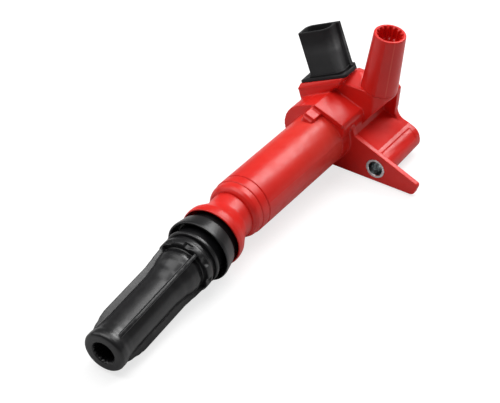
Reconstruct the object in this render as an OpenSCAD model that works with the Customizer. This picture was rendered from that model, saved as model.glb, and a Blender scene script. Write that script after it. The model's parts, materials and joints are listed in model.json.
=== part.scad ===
// Ignition coil with a plug boot below and a second high-voltage tower on its head.
// The coil is drawn in its own axes: X along the barrel with x = 0 on the ear's seat,
// -Y towards the bolt, Z square to the flat pad. laid() then rolls it on to its side,
// as it lies on a bench, with the origin at the bolt bore on the ear's seat.

/* [Barrel] */
// Radius of the barrel
barrel_r = 12.75; // [12:0.05:13.5]
// Wall thickness of the barrel
barrel_wall = 1.5; // [1.3:0.1:1.6]
// Length from the ear's seat to the front of the barrel
barrel_len = 66; // [64:0.5:68]
// Radius of the neck in front of the barrel
neck_r = 10.3; // [9.8:0.1:10.6]
// Radius of the bell mouth at its rim
bell_r = 13.8; // [13.7:0.05:14]
// Length of the outlet from its bend to the bell's rim
bell_reach = 21; // [20.5:0.5:22]

/* [Ear and bolt] */
// Distance from the barrel's axis to the bolt
bolt_offset = 27.75; // [27:0.25:29]
// Radius of the compression limiter's bore, clear of an M6 bolt
limiter_bore_r = 3.4; // [3.2:0.05:3.5]
// Outer radius of the compression limiter
limiter_r = 4.6; // [4.4:0.05:4.8]
// Thickness of the ear plate
ear_t = 2.5; // [2.3:0.1:3]
// Length of the bolt boss from the ear's seat
boss_len = 31; // [30:0.5:32]
// Height of the ear's upper edge above the barrel's axis, where it meets the barrel
ear_top = 9.2; // [8.8:0.05:9.4]
// Distance from the barrel's axis to the ear's tip
ear_reach = 48.3; // [46:0.1:49]

/* [Tower] */
// Lean of the high-voltage tower away from the ear, in degrees
tower_lean = 12; // [8:0.5:14]
// Radius of the tower at its rim
tower_top_r = 7.1; // [7:0.1:7.6]
// Radius of the tower at its foot
tower_foot_r = 8.2; // [8:0.1:8.6]
// Length of the tower above the deck
tower_len = 28.5; // [27:0.5:30]
// Radius of the tower's socket
socket_r = 5; // [4.9:0.05:5.2]

/* [Connector] */
// Lean of the connector away from the ear, in degrees
conn_lean = 42.5; // [41:0.5:44]
// Turn of the connector about its own axis, in degrees
conn_turn = 9.2; // [7:0.1:10]
// Height of the connector's shell above its flange
conn_h = 20.7; // [20:0.1:22]
// Width of the connector's shell
conn_w = 15.7; // [15:0.1:16.4]
// Depth of the connector's shell
conn_d = 10.4; // [10:0.1:11]

/* [Boot] */
// Angle between the outlet, with the boot on it, and the barrel, in degrees
outlet_lean = 4.8; // [3.5:0.1:5]
// Direction in which the outlet leans, about the barrel from -Z towards -Y, in degrees
lean_clock = 60.8; // [50:0.1:70]
// Length of the boot from its mouth to the middle of the snout's bead
boot_reach = 79; // [78.5:0.1:79.5]
// Radius of the boot's bore on the spark plug
plug_bore_r = 4.55; // [4.5:0.05:4.7]
// Radius over the boot's fins
fin_r = 10.9; // [10.7:0.1:11.2]
// Turn of the boot's fins about its axis, in degrees
fin_clock = 16; // [0:1:45]

/* [Laid position] */
// Roll about the barrel that brings the ear's lower edge level, in degrees
lay_roll = 19.5; // [19:0.1:20]

/* [Hidden] */
eps = 0.01;
$fn = 64;

red = [0.83, 0.14, 0.11];
black = [0.13, 0.13, 0.14];
rubber = [0.17, 0.17, 0.18];
steel = [0.72, 0.72, 0.7];
brass = [0.78, 0.62, 0.3];
copper = [0.72, 0.42, 0.24];
resin = [0.16, 0.14, 0.13];
bobbin_colour = [0.86, 0.84, 0.76];

// Barrel and everything turned about its axis
bore_r = barrel_r - barrel_wall;
step_r = 12.35;
outlet_x = -68;
bead_x = -18;
bead_r = 6;
bead_gap = 0.05;
snout_r = 5.1;
snout_end = bead_x - 6;
bell_floor = -13.6;
bell_mouth_r = 12.95;
post_r = 1.6;
// Ends of the coil's stack inside the barrel
stack_front = -63.4;
stack_rear = -3;

// Head
block_front = -6;
pad_z = 15.7;
pad_half = 8;
pad_lip = 0.6;
pad_t = 1.9;
side_y = -10.3;
deck_x = 9.6;
plate_x = 28;
lobe_y = 6.5;
lobe_z = 0.5;
lobe_r = 11.8;
web_top = 6.4;
web_t = 3;
potting_rear = 29.5;
// Lowest line of the head when laid: the ear's lower edge
rest_depth = 15.6;

// Tower and connector frames
tower_at = [17.6, -8.6, 24.9];
conn_at = [14.83, 14.4, 18.04];
conn_tilt = 2.5;
flange_t = 1.3;
shell_wall = 1.3;
shell_floor = 4;
shell_y = -0.4;
key_t = 2.4;
key_out = 1.3;
blade_w = 2.8;
blade_t = 0.8;
blade_pitch = 5;
blade_top = 13;
blade_root = -13;

// Turns a shape drawn along Z so that it runs along +X
module along_x() {
    rotate([0, 90, 0]) children();
}

// Turns a YZ outline, drawn as [y, z], and extrudes it from x0 to x1
module slab(x0, x1) {
    translate([x0, 0, 0]) rotate([90, 0, 90]) linear_extrude(x1 - x0) children();
}

// The laid position, with the origin at the bolt bore
module laid() {
    translate([0, bolt_offset * cos(lay_roll), bolt_offset * sin(lay_roll)])
        rotate([lay_roll, 0, 0]) children();
}

module tower_frame() {
    translate(tower_at) rotate([-tower_lean, 0, 0]) children();
}

module conn_frame() {
    translate(conn_at)
        rotate([-conn_lean, 0, 0]) rotate([0, conn_tilt, 0]) rotate([0, 0, conn_turn]) children();
}

// Outlet frame: origin at the bend on the barrel's axis, +X along the outlet towards the head
module outlet_frame() {
    translate([outlet_x, 0, 0])
        rotate([-lean_clock, 0, 0]) rotate([0, -outlet_lean, 0]) rotate([lean_clock, 0, 0]) children();
}

// Boot frame: origin at the middle of the boot's mouth, with X along the outlet
module boot_frame() {
    outlet_frame() translate([bead_x - boot_reach, 0, 0]) children();
}

// ---- housing ----

// Barrel with the groove near its front, as [radius, x]
module barrel_profile() {
    front = -barrel_len - 1.6;
    polygon([
        [0, front], [barrel_r - 0.4, front], [barrel_r, front + 0.6],
        [barrel_r, -63.2], [barrel_r - 0.3, -63], [barrel_r - 0.3, -62.7], [barrel_r, -62.5],
        [barrel_r, potting_rear], [0, potting_rear]
    ]);
}

// Step that joins the outlet to the barrel, as [radius, x]
module step_profile() {
    polygon([
        [0, -72.6], [step_r - 1.5, -72.6], [step_r - 0.5, -71.6], [step_r, -70.2],
        [step_r + 0.05, -barrel_len - 1.6], [0, -barrel_len - 1.6]
    ]);
}

// Neck, bell and snout, as [radius, distance from the bend]
module outlet_profile() {
    polygon([
        [0, snout_end], [snout_r - 0.6, snout_end], [snout_r, snout_end + 0.6],
        [snout_r, bell_floor], [bell_mouth_r - 2.9, bell_floor], [bell_mouth_r - 1.5, bell_floor - 1.4],
        [bell_mouth_r - 0.3, -17.4], [bell_mouth_r, -bell_reach + 0.9], [bell_mouth_r + 0.2, -bell_reach + 0.2],
        [bell_r - 0.25, -bell_reach], [bell_r, -bell_reach + 0.5], [bell_r + 0.05, -bell_reach + 2],
        [bell_r - 0.3, -16.9], [bell_r - 1.5, -14.6], [neck_r + 1, -12.6], [neck_r + 0.3, -11.4],
        [neck_r, -10.2],
        [neck_r, -2], [0, -2]
    ]);
}

module post_hole() {
    outlet_frame() translate([snout_end - 1, 0, 0]) along_x() cylinder(r = post_r, h = 40);
}

module outlet() {
    color(red) laid() difference() {
        union() {
            along_x() rotate_extrude($fn = 96) step_profile();
            outlet_frame() along_x() rotate_extrude($fn = 96) outlet_profile();
            outlet_frame() translate([bead_x, 0, 0]) sphere(r = bead_r, $fn = 72);
        }
        post_hole();
    }
}

// Section of the head across the barrel, as [y, z]
module head_section() {
    corner_r = 3;
    translate([lobe_y, lobe_z]) circle(r = lobe_r);
    // Roof that slopes from the pad down to the round side
    polygon([[0, 0], [0, pad_z - 0.3], [pad_half - 0.3, pad_z - 0.3], [12.5, 11.2], [17.5, 5], [10, 0]]);
    polygon([
        [side_y, 2], [side_y, 7], [side_y + 0.6, pad_z - corner_r], [side_y + 0.6 + corner_r, pad_z],
        [0, pad_z], [0, 2]
    ]);
    translate([side_y + 0.6 + corner_r, pad_z - corner_r]) circle(r = corner_r);
    circle(r = barrel_r + 0.3);
}

module head_block() {
    slab(block_front, plate_x) head_section();
    // Flat pad with its front lip
    translate([block_front - pad_lip, -pad_half, pad_z - pad_t])
        cube([deck_x - block_front + pad_lip, 2 * pad_half, pad_t]);
}

// Rounded nub on the barrel in front of the block
module latch_nub() {
    nub_l = 7.8;
    nub_w = 5.4;
    nub_top = 14.1;
    nub_r = 1.4;
    translate([block_front - nub_l, 3, 8]) {
        translate([nub_r, 0, 0]) cube([nub_l, nub_w, nub_top - 8]);
        translate([0, nub_r, 0]) cube([nub_l, nub_w - 2 * nub_r, nub_top - 8]);
        for (y = [nub_r, nub_w - nub_r]) translate([nub_r, y, 0]) cylinder(r = nub_r, h = nub_top - 8);
    }
}

// Ear plate: top edge that falls a little, level lower edge when laid, with a foot past the barrel
module ear_outline() {
    tip_r = 2.2;
    top_tip_r = 1.4;
    ear_fall = 2.4;
    foot_y = 7;
    tip_y = -ear_reach + tip_r;
    top_tip_y = -ear_reach + top_tip_r;
    low_tip_z = -rest_depth / cos(lay_roll) - tan(lay_roll) * tip_y + tip_r / cos(lay_roll);
    high_tip_z = ear_top - ear_fall - top_tip_r;
    difference() {
        union() {
            polygon([
                [0, 0], [-rest_depth * sin(lay_roll), -rest_depth * cos(lay_roll)],
                [tip_y - tip_r * sin(lay_roll), low_tip_z - tip_r * cos(lay_roll)],
                [-ear_reach, low_tip_z], [-ear_reach, high_tip_z],
                [top_tip_y, high_tip_z + top_tip_r], [0, ear_top]
            ]);
            translate([tip_y, low_tip_z]) circle(r = tip_r);
            translate([top_tip_y, high_tip_z]) circle(r = top_tip_r);
            circle(r = rest_depth);
            rotate(-lay_roll) polygon([
                [-6, 0], [-6, -rest_depth], [foot_y, -rest_depth], [foot_y + 3.4, -rest_depth + 4], [9, 0]
            ]);
        }
        translate([lobe_y + 3.5, -12]) square([30, 40]);
    }
}

// Rear plate: stands behind the tower, sweeps down to the boss
module plate_outline() {
    sweep_r = 5.2;
    sweep_y = -21.7;
    sweep_z = web_top + sweep_r;
    edge_y = sweep_y + sweep_r;
    difference() {
        union() {
            head_section();
            polygon([
                [7, 0], [edge_y, 0], [edge_y, sweep_z], [-15.4, 15.4], [-14, 20.8], [-12.6, 21.5],
                [-7, 21.5], [3, 16.4], [7, 15]
            ]);
            translate([boss_end_y, -2]) square([-boss_end_y, sweep_z + 1.5]);
            translate([boss_end_y, 0.4]) circle(r = boss_end_r);
        }
        translate([sweep_y, sweep_z]) circle(r = sweep_r);
        translate([sweep_y - 12, web_top]) square([12, 30]);
        translate([sweep_y - 12, sweep_z]) square([12 + sweep_r, 10]);
    }
}
boss_end_r = 5.9;
boss_end_y = -26.8;

// Web and boss behind the ear
module bolt_boss() {
    web_y = -26.2;
    translate([0, -bolt_offset - 0.1, 0]) along_x() cylinder(r1 = 6.05, r2 = 5.2, h = boss_len);
    translate([1, boss_end_y, 0.45]) along_x() cylinder(r = 5.6, h = boss_len - 1.4);
    translate([ear_t - 0.5, web_y, web_top - web_t]) cube([plate_x - ear_t + 1, -9 - web_y, web_t]);
}

// Wedge and deck that carry the tower, open below its outer edge, and the slope behind it
module tower_deck() {
    hull() {
        slab(deck_x, deck_x + 1) polygon([[7.8, 12], [6.5, 20.6], [-6.6, 24.8], [-13.2, 15.9], [-8, 14.2]]);
        tower_frame() translate([0, 0, -1]) cylinder(r = tower_foot_r - 0.1, h = 1, $fn = 32);
        slab(18.5, 19) polygon([[7, 12], [4.6, 23.9], [3, 24.4], [0, 12]]);
        slab(24, 24.8) polygon([[7.8, 10], [5.9, 21], [-4, 22.4], [-14.6, 21.4], [-13.2, 16.2], [-8, 14.2]]);
    }
    hull() {
        slab(24, 24.8) polygon([[7.7, 10], [5.8, 20.9], [-14.5, 21], [-13.1, 16.3], [-8, 14.3]]);
        slab(plate_x - 0.5, plate_x + 0.4) polygon([
            [6.6, 10], [6.6, 15], [3, 16.3], [-7, 20.8], [-13.7, 20.8], [-13.6, 16.4], [-8, 14.4]
        ]);
    }
}

// Gusset that carries the wedge's corner, and the fillet between the head's side and the web
module side_gusset() {
    slab(deck_x + 0.05, deck_x + 1.6) polygon([[-13.1, 16.1], [-10.7, 7.4], [-8, 6], [-8, 16]]);
    slab(1, plate_x + 0.3) polygon([[-10.1, 9.4], [-12.5, web_top - 0.1], [-9, web_top - 0.4]]);
}

module tower_outside() {
    rim_h = 0.6;
    rim_r = tower_top_r + 0.05;
    tower_frame() {
        cylinder(r1 = tower_foot_r, r2 = rim_r, h = tower_len - rim_h);
        translate([0, 0, tower_len - rim_h - eps])
            cylinder(r1 = rim_r, r2 = tower_top_r - 0.5, h = rim_h + eps);
    }
}

// Outline of the connector's flange, in the connector's frame
module flange_outline(grow) {
    polygon([
        [-7.5 - grow, 11.4 + grow], [-8.4 - grow, -11.2 - grow / 2], [-7.6, -11.9 - grow],
        [2.2, -12.3 - grow], [8 + grow, -9 - grow], [8 + grow, 11.2 + grow]
    ]);
}

// Underside of the platform that carries the flange: it grows on three sides and draws in towards the tower
module platform_outline(grow) {
    draw_in = 2.2 * grow;
    polygon([
        [-7.5 - grow, 11.4 + grow], [-8.4 - grow / 2, -11.2 + draw_in], [-7.6, -11.9 + draw_in],
        [2.2, -12.3 + draw_in], [8, -9 + draw_in], [8 + grow, 11.2 + grow]
    ]);
}

// Bevelled platform under the flange, and the shoulder that carries it
module pedestal() {
    bevel = 1.7;
    under = -flange_t - bevel;
    hull() {
        conn_frame() translate([0, 0, -flange_t - 0.4]) linear_extrude(0.4) platform_outline(0.5);
        conn_frame() translate([0, 0, under - 0.5]) linear_extrude(0.5) platform_outline(bevel);
    }
    hull() {
        conn_frame() translate([0, 0, under - 1]) linear_extrude(0.6) platform_outline(bevel - 0.1);
        slab(4.2, 5) polygon([[20.4, 8.8], [17.6, 4.9], [16.5, 1.8], [14, 3], [14, 9.5]]);
        slab(deck_x + 0.1, deck_x + 0.7) polygon([[8.2, 15.5], [6.9, 20.2], [10, 18], [10, 10]]);
        slab(plate_x - 2.6, plate_x - 0.6)
            polygon([[6.9, 6.2], [7.6, 15.5], [15.3, 8.6], [16.4, 5], [10, 0.1]]);
    }
}

// Socket of the tower: fluted mouth, plain bore, then a narrower well round the stud
module tower_socket() {
    flutes = 14;
    flute_r = 0.8;
    flute_depth = 6.2;
    well_r = socket_r - 0.4;
    tower_frame() {
        translate([0, 0, tower_len - socket_depth]) cylinder(r = well_r, h = socket_depth);
        translate([0, 0, tower_len - seat_depth]) cylinder(r = socket_r, h = seat_depth);
        translate([0, 0, tower_len - 0.9]) cylinder(r1 = socket_r, r2 = socket_r + 0.9, h = 0.9 + eps);
        for (i = [0:flutes - 1]) rotate([0, 0, i * 360 / flutes])
            translate([socket_r, 0, tower_len - flute_depth])
                cylinder(r = flute_r, h = flute_depth + 1, $fn = 24);
    }
}
socket_depth = 22;
seat_depth = 14;

module stud_hole() {
    tower_frame() translate([0, 0, -1]) cylinder(r = stud_r, h = 14);
}

module tower() {
    color(red) laid() difference() {
        tower_outside();
        tower_socket();
        stud_hole();
    }
}

stud_r = 1.8;

// Hole and wire between the foot of the tower's stud and the middle of the head
lead_drop = 21;
module lead_path() {
    tower_frame() translate([0, 0, -0.5]) rotate([lead_swing, 0, 0])
        translate([0, 0, -lead_drop]) cylinder(r = tower_lead_r, h = lead_drop + 1, $fn = 24);
}
lead_swing = 26;
tower_lead_r = 0.6;

// Slot under each blade, down into the potted head
module blade_slots() {
    for (side = [-1, 1]) conn_frame()
        translate([-blade_t / 2, side * blade_pitch / 2 - blade_w / 2, blade_root])
            cube([blade_t, blade_w, 5 - blade_root]);
}

module housing() {
    color(red) laid() difference() {
        union() {
            along_x() rotate_extrude($fn = 96) barrel_profile();
            head_block();
            latch_nub();
            slab(0, ear_t) ear_outline();
            slab(plate_x, boss_len) plate_outline();
            bolt_boss();
            tower_deck();
            side_gusset();
            pedestal();
        }
        tower_outside();
        // Inside of the barrel and of the head, open at the back
        translate([stack_front, 0, 0]) along_x() cylinder(r = bore_r, h = boss_len - stack_front + 1);
        post_hole();
        translate([-1, -bolt_offset, 0]) along_x() cylinder(r = limiter_r, h = boss_len + 2);
        stud_hole();
        lead_path();
        blade_slots();
    }
}

// ---- fittings of the housing ----

module compression_limiter() {
    chamfer = 0.35;
    mouth_r = limiter_bore_r + chamfer;
    color(steel) laid() translate([0, -bolt_offset, 0]) along_x() difference() {
        cylinder(r = limiter_r, h = boss_len);
        translate([0, 0, -1]) cylinder(r = limiter_bore_r, h = boss_len + 2);
        translate([0, 0, -eps]) cylinder(r1 = mouth_r, r2 = limiter_bore_r, h = chamfer);
        translate([0, 0, boss_len - chamfer + eps]) cylinder(r1 = limiter_bore_r, r2 = mouth_r, h = chamfer);
    }
}

// Section of the connector's shell, with its round side towards the tower
module shell_section(inset) {
    x1 = conn_d / 2 - inset;
    y1 = conn_w / 2 - inset;
    small_r = 1.2 - inset / 2;
    rear_r = 3.4 - inset;
    big_r = 4.4 - inset;
    translate([0, shell_y]) {
        translate([-x1, -y1 + big_r]) square([2 * x1, 2 * y1 - big_r - rear_r]);
        translate([-x1 + small_r, -y1 + big_r]) square([2 * x1 - small_r - rear_r, 2 * y1 - big_r]);
        translate([-x1, 0]) square([2 * x1 - rear_r, y1 - small_r]);
        translate([-x1 + small_r, y1 - small_r]) circle(r = small_r);
        translate([x1 - rear_r, y1 - rear_r]) circle(r = rear_r);
        for (s = [-1, 1]) translate([s * (x1 - big_r), -y1 + big_r]) circle(r = big_r);
        translate([-x1 + big_r, -y1]) square([2 * x1 - 2 * big_r, big_r]);
    }
}

module connector_shell() {
    color(black) laid() conn_frame() difference() {
        union() {
            translate([0, 0, -flange_t]) linear_extrude(flange_t) flange_outline(0);
            translate([0, 0, -flange_t]) linear_extrude(conn_h + flange_t) shell_section(0);
            // Key rib at the rear, beside the round side
            translate([conn_d / 2 - key_t, shell_y - conn_w / 2 - key_out, -flange_t])
                cube([key_t, key_out + 5, conn_h + flange_t]);
            // Raised foot round the shell
            translate([0, 0, -flange_t]) linear_extrude(flange_t + 0.8) shell_section(-0.7);
        }
        translate([0, 0, shell_floor]) linear_extrude(conn_h) shell_section(shell_wall);
        for (side = [-1, 1]) translate([-blade_t / 2, side * blade_pitch / 2 - blade_w / 2, -3])
            cube([blade_t, blade_w, shell_floor + 4]);
    }
}

// Blade with a chamfered tip, standing in the connector
module blade(side) {
    half = blade_w / 2;
    color(brass) laid() conn_frame()
        translate([blade_t / 2, side * blade_pitch / 2, 0]) rotate([0, -90, 0]) linear_extrude(blade_t)
            polygon([
                [blade_root + 4, -half], [blade_top - 1, -half], [blade_top, -half + 0.8],
                [blade_top, half - 0.8], [blade_top - 1, half], [blade_root + 4, half]
            ]);
}

module supply_blade() {
    blade(1);
}

module trigger_blade() {
    blade(-1);
}

// Round lead that drops from a blade into the potting
lead_r = 0.4;
module lead(side, reach) {
    color(copper) laid() conn_frame()
        translate([0, side * blade_pitch / 2, blade_root + 4 - reach])
            cylinder(r = lead_r, h = reach, $fn = 24);
}

module supply_lead() {
    lead(1, 9);
}

module trigger_lead() {
    lead(-1, 9);
}

module tower_terminal() {
    stud_top = tower_len - seat_depth - 0.6;
    color(brass) laid() tower_frame() {
        translate([0, 0, -1]) cylinder(r = stud_r, h = stud_top - 0.5);
        translate([0, 0, stud_top - 1.5 - eps]) cylinder(r1 = stud_r, r2 = stud_r - 0.6, h = 1.5 + eps);
        translate([0, 0, tower_len - socket_depth]) cylinder(r = 2.6, h = 1.2);
    }
}

module tower_lead() {
    color(copper) laid() difference() {
        lead_path();
        stud_hole();
    }
}

module snout_terminal() {
    post_rear = 3;
    color(brass) laid() outlet_frame() translate([snout_end, 0, 0]) along_x() {
        translate([0, 0, -eps]) cylinder(r = post_r, h = post_rear - snout_end + eps);
        translate([0, 0, -1.5]) cylinder(r = 2.7, h = 1.5);
        translate([0, 0, -2]) cylinder(r1 = 2.2, r2 = 2.7, h = 0.5 + eps);
    }
}

// ---- coil stack, all turned about the barrel's axis ----

core_r = 3.6;
magnet_t = 2.5;
cushion_t = 1.6;
sec_in = 3.8;
sec_out = 4.7;
sec_flange = 7.5;
pri_in = 7.8;
pri_out = 8.5;
pri_flange = 10.1;
shield_in = 10.3;
shield_out = 11.1;
bobbin_front = stack_front + 1;
bobbin_rear = stack_rear - 1;
sections = 12;

module ring(r_in, r_out, x0, x1) {
    translate([x0, 0, 0]) along_x() difference() {
        cylinder(r = r_out, h = x1 - x0);
        translate([0, 0, -1]) cylinder(r = r_in, h = x1 - x0 + 2);
    }
}

module disc(r, x0, x1) {
    translate([x0, 0, 0]) along_x() cylinder(r = r, h = x1 - x0);
}

// Stack of sheets, stepped in width to fill the round bobbin
module core() {
    steps = 4;
    x0 = stack_front + cushion_t + magnet_t;
    x1 = stack_rear - cushion_t - magnet_t;
    color(steel) laid() union() {
        for (i = [0:steps - 1]) {
            a = 90 * (i + 0.5) / steps;
            translate([x0, -core_r * cos(a), -core_r * sin(a)])
                cube([x1 - x0, 2 * core_r * cos(a), 2 * core_r * sin(a)]);
        }
    }
}

module front_magnet() {
    x0 = stack_front + cushion_t;
    color([0.35, 0.35, 0.37]) laid() disc(core_r, x0, x0 + magnet_t);
}

module rear_magnet() {
    color([0.35, 0.35, 0.37]) laid() disc(core_r, stack_rear - cushion_t - magnet_t, stack_rear - cushion_t);
}

module front_cushion() {
    color([0.3, 0.42, 0.3]) laid() disc(core_r, stack_front, stack_front + cushion_t);
}

module rear_cushion() {
    color([0.3, 0.42, 0.3]) laid() disc(core_r, stack_rear - cushion_t, stack_rear);
}

wall = 0.8;
pitch = (bobbin_rear - bobbin_front - wall) / sections;

module secondary_bobbin() {
    color(bobbin_colour) laid() {
        ring(sec_in, sec_out, bobbin_front, bobbin_rear);
        for (i = [0:sections]) {
            x0 = bobbin_front + i * pitch;
            ring(sec_out - 0.1, sec_flange, x0, x0 + wall);
        }
    }
}

module secondary_winding() {
    gap = 0.05;
    color(copper) laid() for (i = [0:sections - 1]) {
        x0 = bobbin_front + i * pitch;
        ring(sec_out + 0.01, sec_flange - 0.6, x0 + wall + gap, x0 + pitch - gap);
    }
}

module primary_bobbin() {
    color(bobbin_colour) laid() {
        ring(pri_in, pri_out, bobbin_front, bobbin_rear);
        ring(pri_out - 0.1, pri_flange, bobbin_front, bobbin_front + 1);
        ring(pri_out - 0.1, pri_flange, bobbin_rear - 1, bobbin_rear);
    }
}

// Two layers of wire, with a groove between neighbouring turns of the outer layer
module primary_winding() {
    turns = 40;
    x0 = bobbin_front + 1.05;
    x1 = bobbin_rear - 1.05;
    wire = (x1 - x0) / turns;
    layers_t = 1.1 * wire;
    r0 = pri_out + 0.01;
    color(copper) laid() along_x() rotate_extrude() difference() {
        translate([r0, x0]) square([layers_t, x1 - x0]);
        for (i = [1:turns - 1])
            translate([r0 + layers_t, x0 + i * wire]) rotate(45) square(wire * 0.3, center = true);
    }
}

module shield() {
    slit = 1.4;
    color([0.5, 0.5, 0.52]) laid() difference() {
        ring(shield_in, shield_out, stack_front + 0.5, stack_rear);
        translate([stack_front - 1, -slit / 2, 0]) cube([70, slit, 20]);
    }
}

// Resin in the head, cast round the leads and the stud
module potting() {
    color(resin) laid() difference() {
        disc(bore_r, stack_rear, potting_rear);
        lead_path();
        blade_slots();
        for (side = [-1, 1]) conn_frame()
            translate([0, side * blade_pitch / 2, blade_root - 5]) cylinder(r = lead_r, h = 9, $fn = 24);
    }
}

// ---- boot ----

collar_at = 55.2;
seal_at = 61.2;
seal_in = 9.2;
fin_t = 1.7;
spring_bore_r = 3.4;
rear_bore_r = bead_r + bead_gap;
spring_bore_at = 29.6;
rear_bore_at = 66;
boot_len = 82;

// Outside of the boot between the fins and its bores, as [radius, distance from the mouth]
module boot_profile() {
    polygon([
        [plug_bore_r + 0.75, 0], [7.9, 0], [8.75, 0.4], [9.1, 1.2], [9.1, 3], [8.7, 5], [8.35, 8],
        [8.2, 14], [8.2, 38], [8.5, 43], [9.3, 48], [9.8, 51.5], [9.9, collar_at],
        [12.1, collar_at], [12.3, collar_at + 0.5], [12.3, 58.4], [11.9, 59], [11.1, 59.4], [11.1, seal_at],
        [seal_in, seal_at], [seal_in, boot_len], [rear_bore_r, boot_len], [rear_bore_r, rear_bore_at],
        [spring_bore_r, rear_bore_at - 1], [spring_bore_r, spring_bore_at],
        [plug_bore_r, spring_bore_at - 1], [plug_bore_r, 1.2]
    ]);
}

// One fin, as [distance from the mouth, radius]
module fin_outline() {
    polygon([
        [3.6, 7], [4.2, 8.9], [8, 9.75], [12, 10.6], [14.5, fin_r], [42, fin_r], [46, fin_r + 0.3],
        [50, fin_r + 0.7], [54, fin_r + 0.9], [collar_at + 1, fin_r + 1], [collar_at + 1, 7]
    ]);
}

module plug_boot() {
    notches = 8;
    grips = 10;
    color(rubber) laid() boot_frame() difference() {
        union() {
            along_x() rotate_extrude($fn = 96) boot_profile();
            for (i = [0:3]) rotate([fin_clock + 90 * i, 0, 0])
                translate([0, fin_t / 2, 0]) rotate([90, 0, 0]) linear_extrude(fin_t) fin_outline();
        }
        // Notches in the collar
        for (i = [0:notches - 1]) rotate([fin_clock + 22.5 + i * 360 / notches, 0, 0])
            translate([collar_at - 1, -1.6, 11.3]) cube([2.4, 3.2, 3]);
        // Grip grooves in the mouth of the bore
        for (i = [0:grips - 1]) rotate([i * 360 / grips, 0, 0])
            translate([-1, 0, plug_bore_r]) along_x() cylinder(r = 0.6, h = 6, $fn = 24);
    }
}

// Umbrella skirt and sleeve, as [radius, distance from the mouth]
module seal_profile() {
    polygon([
        [seal_in, seal_at], [12, seal_at], [12.46, seal_at + 0.5], [12.46, 62.7], [11.9, 63.2],
        [11.3, 64], [11.2, 69.6], [11.6, 70.6], [12.2, 70.6], [12.7, 69.6], [13.5, 66.3], [13.8, 66],
        [14.2, 66], [14.36, 66.3], [14.3, 67.2], [14, 69], [13.6, 71], [13.2, 72.4],
        [12.7, 73], [11.9, 73.3], [11.5, 73.9], [11.4, 75.5], [11.2, 79.2], [10.6, 80.6], [10, 81],
        [seal_in, 81]
    ]);
}

module well_seal() {
    color(rubber) laid() boot_frame() along_x() rotate_extrude($fn = 96) seal_profile();
}

spring_r = 2.5;
spring_wire = 0.38;
spring_front = 39.03;
spring_rear = 70.2;
spring_turns = 11;

// Ring of points round the wire at a share u of the coil's length, along X
function wire_ring(u, sides) = let (
    a = 360 * spring_turns * u,
    x = spring_front + spring_wire + (spring_rear - spring_front - 2 * spring_wire) * u
) [for (k = [0:sides - 1]) let (
    w = 360 * k / sides,
    r = spring_r + spring_wire * cos(w)
) [x + spring_wire * sin(w), r * cos(a), r * sin(a)]];

module contact_spring() {
    sides = 8;
    rings = 16 * spring_turns;
    points = [for (j = [0:rings]) each wire_ring(j / rings, sides)];
    walls = [for (j = [0:rings - 1]) for (k = [0:sides - 1]) [
        j * sides + k, j * sides + (k + 1) % sides, (j + 1) * sides + (k + 1) % sides, (j + 1) * sides + k
    ]];
    first_cap = [for (k = [0:sides - 1]) sides - 1 - k];
    last_cap = [for (k = [0:sides - 1]) rings * sides + k];
    color(steel) laid() boot_frame() polyhedron(points, concat([first_cap, last_cap], walls), convexity = 8);
}

contact_front = 30;
contact_r = 3.2;

// Cap on the front of the spring, with a dished nose for the plug's terminal
module plug_contact() {
    color(brass) laid() boot_frame() along_x() difference() {
        union() {
            translate([0, 0, contact_front]) cylinder(r1 = 2.4, r2 = contact_r, h = 1.2);
            translate([0, 0, contact_front + 1.2 - eps]) cylinder(r = contact_r, h = 7.8);
        }
        translate([0, 0, contact_front - 1]) cylinder(r = 1.5, h = 3);
        translate([0, 0, contact_front + 5]) cylinder(r = 2.3, h = 6);
    }
}

housing();
outlet();
tower();
compression_limiter();
connector_shell();
supply_blade();
trigger_blade();
supply_lead();
trigger_lead();
tower_terminal();
tower_lead();
core();
front_magnet();
rear_magnet();
front_cushion();
rear_cushion();
secondary_bobbin();
secondary_winding();
primary_bobbin();
primary_winding();
shield();
potting();
snout_terminal();
plug_boot();
well_seal();
contact_spring();
plug_contact();
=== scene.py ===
"""Looks of the ignition coil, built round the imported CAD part.

Shapes are drawn in millimetres, each in the frame that suits it, and turned into metres in the
part's own frame when their mesh is made.
"""

import json
import math

import bmesh
import bpy
from mathutils import Matrix, Vector

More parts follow.
